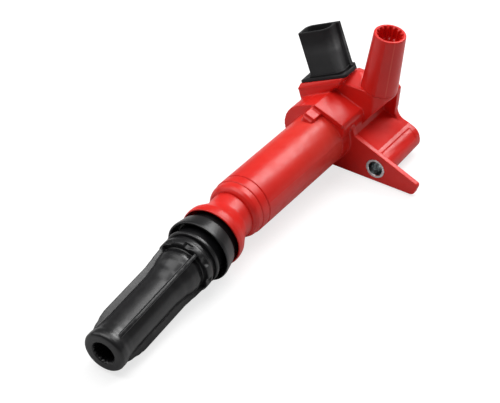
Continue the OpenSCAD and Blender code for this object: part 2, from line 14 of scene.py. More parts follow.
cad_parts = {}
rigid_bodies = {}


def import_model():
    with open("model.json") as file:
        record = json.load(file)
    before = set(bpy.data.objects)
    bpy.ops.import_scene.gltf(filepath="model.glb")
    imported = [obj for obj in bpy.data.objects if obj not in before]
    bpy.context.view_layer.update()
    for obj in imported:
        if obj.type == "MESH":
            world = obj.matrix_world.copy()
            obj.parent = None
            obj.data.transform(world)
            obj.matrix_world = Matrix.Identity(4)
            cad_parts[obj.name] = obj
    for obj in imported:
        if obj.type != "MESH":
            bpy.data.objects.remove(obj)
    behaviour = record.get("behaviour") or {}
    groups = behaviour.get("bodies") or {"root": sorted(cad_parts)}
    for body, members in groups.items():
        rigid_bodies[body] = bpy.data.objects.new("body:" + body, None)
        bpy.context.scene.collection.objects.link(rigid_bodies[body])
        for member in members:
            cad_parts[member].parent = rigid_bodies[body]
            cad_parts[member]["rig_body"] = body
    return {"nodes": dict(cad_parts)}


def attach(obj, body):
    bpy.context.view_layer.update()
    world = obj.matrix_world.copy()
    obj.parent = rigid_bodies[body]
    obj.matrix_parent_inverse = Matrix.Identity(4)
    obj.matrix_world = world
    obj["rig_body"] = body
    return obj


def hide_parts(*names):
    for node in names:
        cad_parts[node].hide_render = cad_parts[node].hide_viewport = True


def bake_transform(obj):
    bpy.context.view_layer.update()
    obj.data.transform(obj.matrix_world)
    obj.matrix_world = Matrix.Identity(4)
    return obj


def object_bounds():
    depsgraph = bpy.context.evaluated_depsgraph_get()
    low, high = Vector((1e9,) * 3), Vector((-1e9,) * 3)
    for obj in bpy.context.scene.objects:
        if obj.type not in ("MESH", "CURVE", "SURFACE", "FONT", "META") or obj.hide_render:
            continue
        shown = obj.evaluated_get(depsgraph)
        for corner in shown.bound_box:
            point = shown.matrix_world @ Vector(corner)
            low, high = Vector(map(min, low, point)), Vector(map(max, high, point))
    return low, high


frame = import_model()
cad_low, cad_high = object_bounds()

MM = 0.001
TAU = 2 * math.pi


# ---- dimensions, in millimetres, as in the part's source ----

BOLT_OFFSET = 27.75
LAY_ROLL = 19.5
BARREL_R = 12.75
BARREL_WALL = 1.5
BARREL_FRONT = -67.6
STEP_FRONT = -72.6
STEP_R = 12.35
NECK_R = 10.3
BELL_R = 13.8
BELL_MOUTH_R = 12.95
BELL_REACH = 21.0
BELL_FLOOR = -13.6
OUTLET_X = -68.0
OUTLET_LEAN = 4.8
LEAN_CLOCK = 60.8
BEAD_X = -18.0
BEAD_R = 6.0
SNOUT_R = 5.1
SNOUT_END = -24.0
BOOT_REACH = 79.0
TOWER_AT = (17.6, -8.6, 24.9)
TOWER_LEAN = 12.0
TOWER_LEN = 28.5
TOWER_FOOT_R = 8.2
TOWER_TOP_R = 7.1
SOCKET_R = 5.0
CONN_AT = (14.83, 14.4, 18.04)
CONN_LEAN = 42.5
CONN_TILT = 2.5
CONN_TURN = 9.2
CONN_H = 20.7
CONN_W = 15.7
CONN_D = 10.4
SHELL_Y = -0.4
SHELL_WALL = 1.3
SHELL_FLOOR = 4.0
FLANGE_T = 1.3
LIMITER_R = 4.6
LIMITER_BORE_R = 3.4
BOSS_LEN = 31.0


# ---- frames ----

def turn(axis, degrees):
    return Matrix.Rotation(math.radians(degrees), 4, axis)


def move(x, y, z):
    return Matrix.Translation((x, y, z))


ROLL = math.radians(LAY_ROLL)
LAID = move(0, BOLT_OFFSET * math.cos(ROLL), BOLT_OFFSET * math.sin(ROLL)) @ turn("X", LAY_ROLL)
OUTLET = LAID @ move(OUTLET_X, 0, 0)
OUTLET = OUTLET @ turn("X", -LEAN_CLOCK) @ turn("Y", -OUTLET_LEAN) @ turn("X", LEAN_CLOCK)
BOOT = OUTLET @ move(BEAD_X - BOOT_REACH, 0, 0)
TOWER = LAID @ move(*TOWER_AT) @ turn("X", -TOWER_LEAN)
CONN = LAID @ move(*CONN_AT) @ turn("X", -CONN_LEAN) @ turn("Y", CONN_TILT) @ turn("Z", CONN_TURN)
# Turns a shape lathed round Z so that it stands along X
ALONG_X = Matrix(((0, 0, 1, 0), (1, 0, 0, 0), (0, 1, 0, 0), (0, 0, 0, 1)))


# ---- mesh tools ----

def rounded(points, radii, steps=5):
    """Closed outline through points, each corner rounded to its radius."""
    out = []
    count = len(points)
    for i, (x, y) in enumerate(points):
        here = Vector((x, y))
        r = radii[i] if isinstance(radii, (list, tuple)) else radii
        back = Vector(points[i - 1]) - here
        ahead = Vector(points[(i + 1) % count]) - here
        if r <= 0 or back.length < 1e-9 or ahead.length < 1e-9:
            out.append((x, y))
            continue
        half = back.angle(ahead) / 2
        if half > math.pi / 2 - 0.01:
            out.append((x, y))
            continue
        reach = min(r / math.tan(half), 0.49 * back.length, 0.49 * ahead.length)
        r = reach * math.tan(half)
        start = here + back.normalized() * reach
        end = here + ahead.normalized() * reach
        centre = here + (back.normalized() + ahead.normalized()).normalized() * (r / math.sin(half))
        for k in range(steps + 1):
            p = (start - centre).lerp(end - centre, k / steps)
            p = centre + p.normalized() * r
            out.append((p.x, p.y))
    return out


def mesh_object(name, bm, matrix):
    """Makes the object of a mesh drawn in millimetres in a frame."""
    bmesh.ops.recalc_face_normals(bm, faces=bm.faces)
    mesh = bpy.data.meshes.new(name)
    bm.to_mesh(mesh)
    bm.free()
    mesh.transform(Matrix.Scale(MM, 4) @ matrix)
    obj = bpy.data.objects.new(name, mesh)
    bpy.context.scene.collection.objects.link(obj)
    return obj


def skin(rings, closed_loop, cap_ends=False):
    """Mesh of rings of points, each joined to the next; closed_loop joins the last to the first."""
    bm = bmesh.new()
    rows = [[bm.verts.new(p) for p in ring] for ring in rings]
    pairs = list(zip(rows, rows[1:]))
    if closed_loop:
        pairs.append((rows[-1], rows[0]))
    for a, b in pairs:
        n = len(a)
        for k in range(n):
            j = (k + 1) % n
            bm.faces.new((a[k], a[j], b[j], b[k]))
    if cap_ends:
        bm.faces.new(rows[0])
        bm.faces.new(list(reversed(rows[-1])))
    return bm


def lathe(profile, segments=192, waver=None):
    """Surface of a closed [radius, distance] outline turned round Z. waver changes a radius by angle."""
    rings = []
    for k in range(segments):
        a = TAU * k / segments
        ring = []
        for r, z in profile:
            rr = waver(r, z, a) if waver else r
            ring.append((rr * math.cos(a), rr * math.sin(a), z))
        rings.append(ring)
    bm = skin(rings, True)
    bmesh.ops.remove_doubles(bm, verts=bm.verts, dist=1e-5)
    loose = [f for f in bm.faces if f.calc_area() < 1e-10]
    bmesh.ops.delete(bm, geom=loose, context="FACES")
    return bm


def smooth(obj, angle=35):
    obj.data.shade_smooth()
    obj.data.set_sharp_from_angle(angle=math.radians(angle))
    return obj


def applied(obj):
    """Bakes the modifiers of obj into its mesh."""
    graph = bpy.context.evaluated_depsgraph_get()
    mesh = bpy.data.meshes.new_from_object(obj.evaluated_get(graph))
    obj.modifiers.clear()
    old = obj.data
    obj.data = mesh
    bpy.data.meshes.remove(old)
    return obj


def boolean(obj, other, operation):
    mod = obj.modifiers.new("cut", "BOOLEAN")
    mod.operation = operation
    mod.solver = "EXACT"
    mod.object = other
    bpy.context.view_layer.update()
    applied(obj)
    bpy.data.objects.remove(other)
    return obj


def joined(obj, other):
    """Adds the mesh of other to obj."""
    bm = bmesh.new()
    bm.from_mesh(obj.data)
    bm.from_mesh(other.data)
    bm.to_mesh(obj.data)
    bm.free()
    bpy.data.objects.remove(other)
    return obj


def copy_of(node, name):
    """A new object with the mesh of a CAD node."""
    obj = bpy.data.objects.new(name, frame["nodes"][node].data.copy())
    bpy.context.scene.collection.objects.link(obj)
    obj.data.materials.clear()
    return obj


def moulded(obj, voxel, passes):
    """Gives every edge and inner corner of obj the small radius of a moulding."""
    mod = obj.modifiers.new("remesh", "REMESH")
    mod.mode = "VOXEL"
    mod.voxel_size = voxel * MM
    mod.adaptivity = 0
    mod = obj.modifiers.new("soften", "SMOOTH")
    mod.factor = 0.5
    mod.iterations = passes
    bpy.context.view_layer.update()
    return applied(obj)


def shift_points(obj, matrix, rule):
    """Moves each point of obj by rule, which takes and gives a point in millimetres in a frame."""
    to_frame = (Matrix.Scale(MM, 4) @ matrix).inverted()
    back = Matrix.Scale(MM, 4) @ matrix
    for v in obj.data.vertices:
        p = to_frame @ v.co
        q = rule(p)
        if q is not None:
            v.co = back @ q
    obj.data.update()


# ---- materials ----

# Pointiness at which the painted edge highlight starts, and at which it is strongest
EDGE_HIGHLIGHT_FROM = 0.53
EDGE_HIGHLIGHT_TO = 0.64
# Scale of the noise that breaks the painted edge highlight into patches
EDGE_HIGHLIGHT_PATCHES = 260


def material(name, colour, roughness, variation=0.08, blotch=35.0, grain=2600.0, grain_depth=0.012,
             edge_highlight=None, metallic=0.0, coat=0.0, spread=0.08, specular=0.5, streaks=0.0):
    """A procedural finish: uneven colour and roughness, a fine grain, and edges painted paler as a painted
    highlight.
    """
    mat = bpy.data.materials.new(name)
    mat.use_nodes = True
    nodes = mat.node_tree.nodes
    links = mat.node_tree.links
    bsdf = nodes["Principled BSDF"]
    bsdf.inputs["Metallic"].default_value = metallic
    bsdf.inputs["Coat Weight"].default_value = coat
    bsdf.inputs["Coat Roughness"].default_value = 0.25
    bsdf.inputs["Specular IOR Level"].default_value = specular
    place = nodes.new("ShaderNodeTexCoord")

    blotches = nodes.new("ShaderNodeTexNoise")
    blotches.inputs["Scale"].default_value = blotch
    blotches.inputs["Detail"].default_value = 6
    links.new(place.outputs["Object"], blotches.inputs["Vector"])
    ramp = nodes.new("ShaderNodeValToRGB")
    ramp.color_ramp.elements[0].position = 0.3
    ramp.color_ramp.elements[0].color = (*[c * (1 - variation) for c in colour], 1)
    ramp.color_ramp.elements[1].position = 0.7
    ramp.color_ramp.elements[1].color = (*[min(1, c * (1 + variation)) for c in colour], 1)
    links.new(blotches.outputs["Fac"], ramp.inputs["Fac"])
    result = ramp.outputs["Color"]
    # Paler colour painted on sharp edges, in patches: a painted highlight on the edges
    if edge_highlight:
        geometry = nodes.new("ShaderNodeNewGeometry")
        edge = nodes.new("ShaderNodeMapRange")
        edge.inputs["From Min"].default_value = EDGE_HIGHLIGHT_FROM
        edge.inputs["From Max"].default_value = EDGE_HIGHLIGHT_TO
        links.new(geometry.outputs["Pointiness"], edge.inputs["Value"])
        patch = nodes.new("ShaderNodeTexNoise")
        patch.inputs["Scale"].default_value = EDGE_HIGHLIGHT_PATCHES
        patch.inputs["Detail"].default_value = 4
        links.new(place.outputs["Object"], patch.inputs["Vector"])
        amount = nodes.new("ShaderNodeMath")
        amount.operation = "MULTIPLY"
        links.new(edge.outputs["Result"], amount.inputs[0])
        links.new(patch.outputs["Fac"], amount.inputs[1])
        mix = nodes.new("ShaderNodeMix")
        mix.data_type = "RGBA"
        links.new(amount.outputs["Value"], mix.inputs["Factor"])
        links.new(result, mix.inputs[6])
        mix.inputs[7].default_value = (*edge_highlight, 1)
        result = mix.outputs[2]
    links.new(result, bsdf.inputs["Base Color"])

    cloud = nodes.new("ShaderNodeTexNoise")
    cloud.inputs["Scale"].default_value = blotch * 6
    cloud.inputs["Detail"].default_value = 5
    links.new(place.outputs["Object"], cloud.inputs["Vector"])
    gloss = nodes.new("ShaderNodeMapRange")
    gloss.inputs["From Min"].default_value = 0.3
    gloss.inputs["From Max"].default_value = 0.7
    gloss.inputs["To Min"].default_value = max(0.02, roughness - spread)
    gloss.inputs["To Max"].default_value = roughness + spread
    links.new(cloud.outputs["Fac"], gloss.inputs["Value"])
    links.new(gloss.outputs["Result"], bsdf.inputs["Roughness"])

    fine = nodes.new("ShaderNodeTexNoise")
    fine.inputs["Scale"].default_value = grain
    fine.inputs["Detail"].default_value = 3
    if streaks:
        mapping = nodes.new("ShaderNodeMapping")
        mapping.inputs["Scale"].default_value = (1 / streaks, 1, 1)
        links.new(place.outputs["Object"], mapping.inputs["Vector"])
        links.new(mapping.outputs["Vector"], fine.inputs["Vector"])
    else:
        links.new(place.outputs["Object"], fine.inputs["Vector"])
    bump = nodes.new("ShaderNodeBump")
    bump.inputs["Strength"].default_value = 0.6
    bump.inputs["Distance"].default_value = grain_depth * MM
    links.new(fine.outputs["Fac"], bump.inputs["Height"])
    links.new(bump.outputs["Normal"], bsdf.inputs["Normal"])
    return mat


RED_COLOUR = (0.70, 0.014, 0.009)
# Paler red painted on sharp edges as a painted highlight
EDGE_HIGHLIGHT_RED = (0.80, 0.09, 0.06)
RED = material("moulded_red", RED_COLOUR, 0.36, edge_highlight=EDGE_HIGHLIGHT_RED, specular=0.42)
MATT_RED = material("matt_red", RED_COLOUR, 0.55, edge_highlight=EDGE_HIGHLIGHT_RED, specular=0.12)
# The last colour given to moulded_black and to boot_rubber is also a painted edge highlight
BLACK = material(
    "moulded_black", (0.012, 0.0115, 0.0125), 0.5, variation=0.2, edge_highlight=(0.04, 0.038, 0.04), specular=0.22
)
RUBBER = material(
    "boot_rubber", (0.006, 0.0058, 0.0066), 0.33, variation=0.25, grain=1800, grain_depth=0.015,
    edge_highlight=(0.035, 0.034, 0.036), specular=0.55, spread=0.04,
)
STEEL = material("plated_steel", (0.72, 0.75, 0.76), 0.27, metallic=1.0, variation=0.1, streaks=8.0)
BRASS = material("brass", (0.72, 0.5, 0.2), 0.3, metallic=1.0, variation=0.1, streaks=6.0)
COPPER = material("copper_wire", (0.75, 0.33, 0.15), 0.35, metallic=1.0, variation=0.1)
RESIN = material("potting_resin", (0.03, 0.024, 0.02), 0.22, variation=0.2, blotch=90, coat=0.3)
BOBBIN = material("bobbin_nylon", (0.72, 0.68, 0.55), 0.45)
FERRITE = material("magnet_grey", (0.1, 0.1, 0.11), 0.5, metallic=0.4)
FOAM = material("cushion_green", (0.07, 0.14, 0.07), 0.8, grain=900, grain_depth=0.1)
CORE = material("core_sheets", (0.35, 0.35, 0.36), 0.4, metallic=1.0, streaks=12.0)

FINISH = {
    "supply_blade": BRASS, "trigger_blade": BRASS, "supply_lead": COPPER, "trigger_lead": COPPER,
    "tower_terminal": BRASS, "tower_lead": COPPER, "core": CORE, "front_magnet": FERRITE,
    "rear_magnet": FERRITE, "front_cushion": FOAM, "rear_cushion": FOAM, "secondary_bobbin": BOBBIN,
    "secondary_winding": COPPER, "primary_bobbin": BOBBIN, "primary_winding": COPPER, "shield": CORE,
    "potting": RESIN, "snout_terminal": BRASS, "contact_spring": STEEL, "plug_contact": BRASS,
    "compression_limiter": STEEL, "housing": RED, "outlet": RED, "tower": RED,
    "connector_shell": BLACK, "plug_boot": RUBBER, "well_seal": RUBBER,
}
for node_name, node in frame["nodes"].items():
    node.data.materials.clear()
    node.data.materials.append(FINISH[node_name])
    smooth(node, 30)


def place(obj, node, finish):
    """obj stands for a CAD node: it takes its finish and rides on its body."""
    obj.data.materials.clear()
    obj.data.materials.append(finish)
    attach(obj, frame["nodes"][node]["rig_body"])
    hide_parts(node)
    return obj


# ---- housing ----

BARREL_REAR = -5.7
HEAD_CUT = -16.0
# How far the CAD barrel is sunk under the lathed one
SUNK = 0.3
WEB_TOP = 6.4
NUB_HOLLOW_R = 1.6
NUB_HOLLOW_LEN = 5.8
NUB_HOLLOW_AT = (-13.9, 2.8, 14.3)
RIDGE_START = Vector((9.85, 6.6, 20.35))
RIDGE_END = Vector((9.85, -6.2, 24.62))
RIDGE_R = 0.5
# Groove round the barrel near its front
GROOVE_FRONT = -63.35
GROOVE_REAR = -62.35
GROOVE_DEPTH = 0.4
PARTING_ANGLE = math.radians(141)


def barrel_radius(angle):
    """Radius of the barrel, with a faint parting line on each side."""
    r = BARREL_R
    for centre in (PARTING_ANGLE, PARTING_ANGLE - math.pi):
        gap = math.atan2(math.sin(angle - centre), math.cos(angle - centre))
        r += 0.07 * math.exp(-((gap / 0.022) ** 2))
    return r


def barrel():
    """Barrel from its front edge to just under the head, with the joint groove near its front."""
    front = BARREL_FRONT
    inside = BARREL_R - BARREL_WALL
    outline = rounded(
        [
            (inside, front), (BARREL_R, front), (BARREL_R, GROOVE_FRONT), (BARREL_R - GROOVE_DEPTH, -63.1),
            (BARREL_R - GROOVE_DEPTH, -62.6), (BARREL_R, GROOVE_REAR), (BARREL_R, BARREL_REAR),
            (inside, BARREL_REAR),
        ],
        [0, 0.6, 0.15, 0.08, 0.08, 0.15, 0, 0],
    )

    def parted(r, x, angle):
        return r + barrel_radius(angle) - BARREL_R if r > inside + 0.1 and x > GROOVE_REAR - 0.05 else r

    return mesh_object("barrel_part", lathe(outline, 400, parted), LAID @ ALONG_X)


def head():
    """Head of the housing with softened edges and corners. Its barrel is sunk inside the lathed one."""
    obj = copy_of("housing", "housing_shell")
    bm = bmesh.new()
    bm.from_mesh(obj.data)
    bmesh.ops.remove_doubles(bm, verts=bm.verts, dist=1e-7)
    geom = bm.verts[:] + bm.edges[:] + bm.faces[:]
    cut = bmesh.ops.bisect_plane(
        bm, geom=geom, dist=1e-8, plane_co=(HEAD_CUT * MM, 0, 0), plane_no=(1, 0, 0), clear_inner=True
    )
    edges = [e for e in cut["geom_cut"] if isinstance(e, bmesh.types.BMEdge)]
    bmesh.ops.triangle_fill(bm, edges=edges, use_beauty=True, normal=(-1, 0, 0))
    bm.to_mesh(obj.data)
    bm.free()
    # Hollow across the front of the nub
    hollow = [(0, 0), (NUB_HOLLOW_R, 0), (NUB_HOLLOW_R, NUB_HOLLOW_LEN), (0, NUB_HOLLOW_LEN)]
    across = LAID @ move(*NUB_HOLLOW_AT) @ turn("X", -90)
    boolean(obj, mesh_object("nub_hollow", lathe(hollow, 48), across), "DIFFERENCE")
    # Rib along the wedge's ridge
    span = RIDGE_END - RIDGE_START
    along = span.to_track_quat("Z", "Y").to_matrix().to_4x4()
    rod = rounded([(0, 0), (RIDGE_R, 0), (RIDGE_R, span.length), (0, span.length)], [0, 0.3, 0.3, 0])
    rib = mesh_object("ridge_rib", lathe(rod, 16), LAID @ Matrix.Translation(RIDGE_START) @ along)
    joined(obj, rib)
    moulded(obj, 0.3, 4)

    def sunk(p):
        r = math.hypot(p.y, p.z)
        if p.x > BARREL_REAR - 0.5 or r < BARREL_R - 1.0 or r > BARREL_R + 0.12:
            return None
        k = min(1, (BARREL_R - SUNK) / r)
        return Vector((p.x, p.y * k, p.z * k))

    shift_points(obj, LAID, sunk)
    return obj


def matt_web(obj):
    """Gives the flat top of the web its duller finish."""
    obj.data.materials.append(MATT_RED)
    back = (Matrix.Scale(MM, 4) @ LAID).inverted()
    upward = LAID.to_3x3() @ Vector((0, 0, 1))
    for face in obj.data.polygons:
        p = back @ face.center
        if abs(p.z - WEB_TOP) < 0.5 and -24.5 < p.y < -9.5 and face.normal.dot(upward) > 0.8:
            face.material_index = 1


def housing():
    obj = joined(head(), barrel())
    smooth(obj, 40)
    place(obj, "housing", RED)
    matt_web(obj)
    return obj


housing()


# ---- outlet: step, neck, bell and snout ----

def outlet():
    """Step against the barrel, leaning neck and bell, and the snout with its ball bead."""
    back = BARREL_FRONT + 0.2
    collar = rounded(
        [
            (0, STEP_FRONT), (STEP_R - 1.5, STEP_FRONT), (STEP_R - 0.5, STEP_FRONT + 1),
            (STEP_R, STEP_FRONT + 2.4), (STEP_R + 0.05, back), (0, back),
        ],
        [0, 0.8, 1.6, 2.0, 0, 0],
    )
    step = mesh_object("outlet_shell", lathe(collar, 256), LAID @ ALONG_X)
    mouth = BELL_MOUTH_R
    outline = rounded(
        [
            (0, SNOUT_END), (SNOUT_R, SNOUT_END), (SNOUT_R, BELL_FLOOR), (mouth - 2.9, BELL_FLOOR),
            (mouth - 1.5, BELL_FLOOR - 1.4), (mouth - 0.3, -17.4), (mouth, -BELL_REACH + 2),
            (mouth + 0.15, -BELL_REACH), (BELL_R, -BELL_REACH), (BELL_R + 0.05, -BELL_REACH + 2),
            (BELL_R - 0.3, -16.9), (BELL_R - 1.5, -14.6), (NECK_R + 1, -12.6), (NECK_R, -10.2),
            (NECK_R, -2), (0, -2),
        ],
        [0, 0.6, 0.3, 1.2, 2, 4, 0.5, 0.35, 0.4, 2, 4, 4, 3, 5, 0, 0],
        8,
    )
    flared = mesh_object("outlet_flare", lathe(outline, 256), OUTLET @ ALONG_X)
    boolean(step, flared, "UNION")
    turns = [math.pi * (k / 24 - 0.5) for k in range(25)]
    bead = [(BEAD_R * math.cos(t), BEAD_X + BEAD_R * math.sin(t)) for t in turns]
    boolean(step, mesh_object("outlet_bead", lathe(bead, 96), OUTLET @ ALONG_X), "UNION")
    smooth(step, 35)
    return place(step, "outlet", RED)


outlet()


# ---- tower ----

FLUTES = 14
FLUTE_R = 0.8
FLUTE_DEPTH = 6.2
SOCKET_DEPTH = 14
WELL_DEPTH = 22
# Every radius above this one is on the outside of the tower
OUTSIDE_FROM = 6.2
# Directions of the two parting lines
TOWER_PARTINGS = (math.radians(196), math.radians(16))


def fluted(r, z, angle):
    """Parting lines on the tower's outside, and flutes in its mouth."""
    if r > OUTSIDE_FROM:
        for centre in TOWER_PARTINGS:
            gap = math.atan2(math.sin(angle - centre), math.cos(angle - centre))
            r += 0.05 * math.exp(-((gap / 0.05) ** 2))
        return r
    if r < SOCKET_R - 0.05 or z < TOWER_LEN - FLUTE_DEPTH - 0.3:
        return r
    pitch = TAU / FLUTES
    gap = (angle + pitch / 2) % pitch - pitch / 2
    reach = FLUTE_R**2 - (SOCKET_R * math.sin(gap)) ** 2
    if reach <= 0:
        return r
    full = SOCKET_R * math.cos(gap) + math.sqrt(reach)
    share = min(1, max(0, (z - TOWER_LEN + FLUTE_DEPTH + 0.3) / 0.6))
    return max(r, SOCKET_R + (full - SOCKET_R) * share + 0.12 * max(0, r - SOCKET_R))


def tower():
    """High-voltage tower with its fluted socket."""
    top = TOWER_LEN
    outline = rounded(
        [
            (2.0, 0.02), (TOWER_FOOT_R - 0.02, 0.02), (TOWER_TOP_R + 0.02, top - 0.9),
            (TOWER_TOP_R - 0.12, top), (SOCKET_R + 0.95, top), (SOCKET_R, top - 0.8),
            (SOCKET_R, top - 3), (SOCKET_R, top - 5),
            (SOCKET_R, top - FLUTE_DEPTH + 0.3), (SOCKET_R, top - FLUTE_DEPTH - 0.3),
            (SOCKET_R, top - SOCKET_DEPTH), (SOCKET_R - 0.4, top - SOCKET_DEPTH),
            (SOCKET_R - 0.4, top - WELL_DEPTH), (2.0, top - WELL_DEPTH),
        ],
        [0, 0.25, 6, 0.45, 0.25, 0.3, 0, 0, 0, 0, 0.1, 0.1, 0.3, 0],
    )
    obj = mesh_object("tower_shell", lathe(outline, FLUTES * 20, fluted), TOWER)
    smooth(obj, 32)
    return place(obj, "tower", RED)


tower()


# ---- connector ----

# Half the width of a guide rib in the mouth
RIB_HALF = 0.55


def loft(name, layers, matrix):
    """Solid through outlines with the same number of points, each given as (outline, height)."""
    rings = [[(x, y, z) for x, y in outline] for outline, z in layers]
    return mesh_object(name, skin(rings, False, True), matrix)


def shell_outline(inset):
    """Outside of the connector, drawn in by inset, with the key rib at one corner."""
    x1 = CONN_D / 2 - inset
    y0 = SHELL_Y - CONN_W / 2 + inset
    y1 = SHELL_Y + CONN_W / 2 - inset
    key_x = CONN_D / 2 - 2.4 + inset
    key_y = y0 - 1.3
    corners = [(-x1, y1), (-x1, y0), (key_x, y0), (key_x, key_y), (x1, key_y), (x1, y1)]
    radii = [1.2 - inset, 4.4 - inset, 0.35 + inset, 0.4 - inset, 0.5 - inset, 3.4 - inset]
    return rounded(corners, radii, 10)


def cavity_outline(inset):
    """Inside of the connector, drawn in by inset from the outside."""
    x1 = CONN_D / 2 - inset
    y0 = SHELL_Y - CONN_W / 2 + inset
    y1 = SHELL_Y + CONN_W / 2 - inset
    corners = [(-x1, y1), (-x1, y0), (x1, y0), (x1, y1)]
    return rounded(corners, [1.6 - inset * 0.8, 4.4 - inset, 4.4 - inset, 3.4 - inset], 10)


def flange_corners(grow):
    """Outline of the connector's flange, widened by grow."""
    corners = [
        (-7.5 - grow, 11.4 + grow), (-8.4 - grow, -11.2 - grow / 2), (-7.6, -11.9 - grow),
        (2.2, -12.3 - grow), (8 + grow, -9 - grow), (8 + grow, 11.2 + grow),
    ]
    return rounded(corners, [0.5, 0.4, 0.4, 0.8, 0.9, 0.6], 5)


def connector():
    """Open connector shell on its flange, with a foot, a mouth and guide ribs."""
    edge = [(0.28, 0), (0.12, 0.05), (0.04, 0.12), (0, 0.28)]
    height = CONN_H
    layers = [(shell_outline(0), -0.5)]
    layers += [(shell_outline(inset), height - drop) for inset, drop in reversed(edge)]
    shell = loft("connector_body", layers, CONN)
    # Mouth that opens a little at its rim
    wall = SHELL_WALL
    mouth = [(cavity_outline(wall + 0.06), SHELL_FLOOR), (cavity_outline(wall), height - 0.3)]
    mouth += [(cavity_outline(wall - 0.1), height - 0.1), (cavity_outline(wall - 0.3), height + 0.02)]
    mouth += [(cavity_outline(wall - 0.3), height + 2)]
    flange = [(flange_corners(-0.25), -FLANGE_T + 0.01), (flange_corners(0), -FLANGE_T + 0.2)]
    flange += [(flange_corners(0), -0.3), (flange_corners(-0.1), -0.08), (flange_corners(-0.3), 0)]
    boolean(shell, loft("connector_flange", flange, CONN), "UNION")
    foot = [(shell_outline(-spread), z) for spread, z in ((0.7, -0.6), (0.7, 0.5), (0.55, 0.72), (0.3, 0.8))]
    boolean(shell, loft("connector_foot", foot, CONN), "UNION")
    boolean(shell, loft("connector_mouth", mouth, CONN), "DIFFERENCE")
    # Guide ribs inside the mouth
    for x, y in ((-3.95, 3.6), (-3.95, -3.2), (3.95, 1.2)):
        square = [(-RIB_HALF, -RIB_HALF), (RIB_HALF, -RIB_HALF), (RIB_HALF, RIB_HALF), (-RIB_HALF, RIB_HALF)]
        section = rounded(square, 0.15, 3)
        layers = []
        for size, z in ((1, 3.6), (1, 17.5), (0.6, 18.2)):
            layers.append(([(x + u * size, y + v * size) for u, v in section], z))
        boolean(shell, loft("connector_rib", layers, CONN), "UNION")
    smooth(shell, 34)
    return place(shell, "connector_shell", BLACK)


connector()


# ---- compression limiter ----

def limiter():
    """Steel sleeve in the bolt boss, with eased edges."""
    length = BOSS_LEN
    outline = rounded(
        [
            (LIMITER_BORE_R, 0.01), (LIMITER_R - 0.01, 0.01), (LIMITER_R - 0.01, length - 0.01),
            (LIMITER_BORE_R, length - 0.01),
        ],
        [0.35, 0.12, 0.12, 0.35],
    )
    obj = mesh_object("limiter_tube", lathe(outline, 128), LAID @ move(0, -BOLT_OFFSET, 0) @ ALONG_X)
    smooth(obj, 35)
    return place(obj, "compression_limiter", STEEL)


limiter()


# ---- boot and seal ----

FINS = 4
FIN_CLOCK = 16.0
FIN_HALF = 0.75
FIN_ROOT = 0.4
FIN_TOP = 0.35
PLUG_BORE_R = 4.55
SPRING_BORE_R = 3.4
REAR_BORE_AT = 66.0
SPRING_BORE_AT = 29.6
COLLAR_AT = 55.2
SEAL_AT = 61.2
SEAL_IN = 9.2
BOOT_LEN = 82.0
ARC_STEPS = 18


def eased(x, points):
    """Smooth curve through points of (x, value)."""
    if x <= points[0][0]:
        return points[0][1]
    for (x0, v0), (x1, v1) in zip(points, points[1:]):
        if x <= x1:
            t = (x - x0) / (x1 - x0)
            return v0 + (v1 - v0) * t * t * (3 - 2 * t)
    return points[-1][1]


def fin_side(body, tip):
    """One side of a fin from its root to the middle of its top, as [out, across] points."""
    tip = max(tip, body + FIN_ROOT + FIN_TOP + 0.05)
    across = FIN_HALF + FIN_ROOT
    out = math.sqrt((body + FIN_ROOT) ** 2 - across**2)
    start = math.atan2(-across, -out)
    points = [(out + FIN_ROOT * math.cos(t), across + FIN_ROOT * math.sin(t)) for t in
              [start + (-math.pi / 2 - start) * k / 6 for k in range(7)]]
    for k in range(5):
        a = math.pi / 2 * k / 4
        points.append((tip - FIN_TOP + FIN_TOP * math.sin(a), FIN_HALF - FIN_TOP + FIN_TOP * math.cos(a)))
    points.append((tip, 0))
    return points


def boot_ring(body, tip, x, shape=None):
    """Section of the boot across its axis: a round body with fins as far out as tip."""
    ring = []
    rise = min(1, max(0, (tip - body) / (FIN_ROOT + FIN_TOP + 0.05)))
    side = fin_side(body, tip)
    for i in range(FINS):
        centre = math.radians(FIN_CLOCK + 360 / FINS * i) + math.pi / 2
        fin = [(math.hypot(u, v), math.atan2(v, u)) for u, v in side]
        spread = fin[0][1]
        fin = [(r, a) for r, a in fin] + [(r, -a) for r, a in reversed(fin[:-1])]
        step = (TAU / FINS - 2 * spread) / ARC_STEPS
        for r, a in fin:
            ring.append((body + (r - body) * rise, centre - a))
        for k in range(1, ARC_STEPS):
            ring.append((body, centre + spread + step * k))
    out = []
    for r, a in ring:
        if shape:
            r = shape(r, a)
        out.append((x, r * math.cos(a), r * math.sin(a)))
    return out


def notched(depth, width=0.16):
    """Rule that sinks a radius at each of the collar's notches."""
    def rule(r, a):
        pitch = TAU / 8
        gap = (a - math.pi / 2 - math.radians(FIN_CLOCK + 22.5) + pitch / 2) % pitch - pitch / 2
        return r - depth * max(0, 1 - (gap / width) ** 4) if abs(gap) < width else r
    return rule


def gripped(depth):
    """Rule that widens the mouth of the bore at each of its grip grooves."""
    def rule(r, a):
        return r + depth * max(0, math.cos(20 * (a - math.pi / 2)))
    return rule


